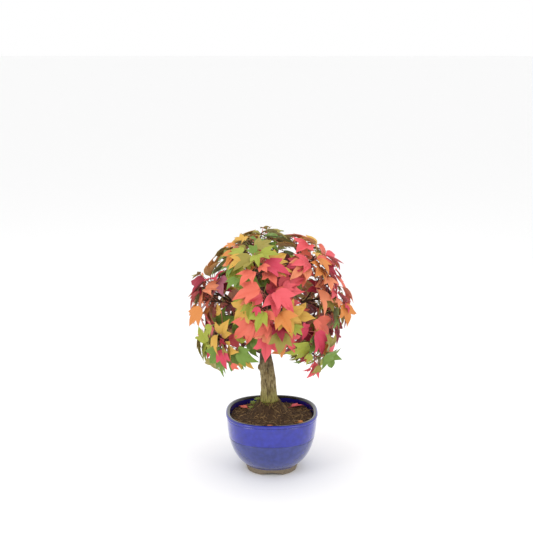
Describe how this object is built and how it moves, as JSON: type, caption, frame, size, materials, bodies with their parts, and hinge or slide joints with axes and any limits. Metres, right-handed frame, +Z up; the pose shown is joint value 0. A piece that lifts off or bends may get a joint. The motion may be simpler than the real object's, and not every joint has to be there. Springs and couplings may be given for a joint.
{
  "type": "trident maple bonsai",
  "caption": "Small broom-shaped bonsai with three-lobed autumn leaves in layered masses over a leaning trunk, in a rounded, soft-square glazed pot of soil on low feet.",
  "frame": {"origin": "under the middle of the pot, on the surface it stands on", "axes": "+Z up along the tree's height, -Y towards the front of the tree, +X to its right"},
  "size_m": [0.2155, 0.2136, 0.319],
  "materials": {
    "glaze": "glossy cobalt glaze over an unglazed foot",
    "soil": "moist, fibrous, matte",
    "bark": "finely cracked bark, matte",
    "foliage": "autumn leaves, satin"
  },
  "bodies": {
    "root": {"pot": "glaze", "soil": "soil", "trunk": "bark", "leader": "bark", "bough_low_1": "bark", "bough_low_2": "bark", "bough_low_3": "bark", "bough_low_4": "bark", "bough_middle_1": "bark", "bough_middle_2": "bark", "bough_middle_3": "bark", "bough_middle_4": "bark", "bough_high_1": "bark", "bough_high_2": "bark", "bough_high_3": "bark", "foliage_low_1": "foliage", "foliage_low_2": "foliage", "foliage_low_3": "foliage", "foliage_low_4": "foliage", "foliage_middle_1": "foliage", "foliage_middle_2": "foliage", "foliage_middle_3": "foliage", "foliage_middle_4": "foliage", "foliage_high_1": "foliage", "foliage_high_2": "foliage", "foliage_high_3": "foliage", "foliage_top": "foliage", "fallen_leaf_right": "foliage", "fallen_leaf_left": "foliage", "fallen_leaf_front": "foliage", "fallen_leaf_corner": "foliage"}
  },
  "joints": []
}
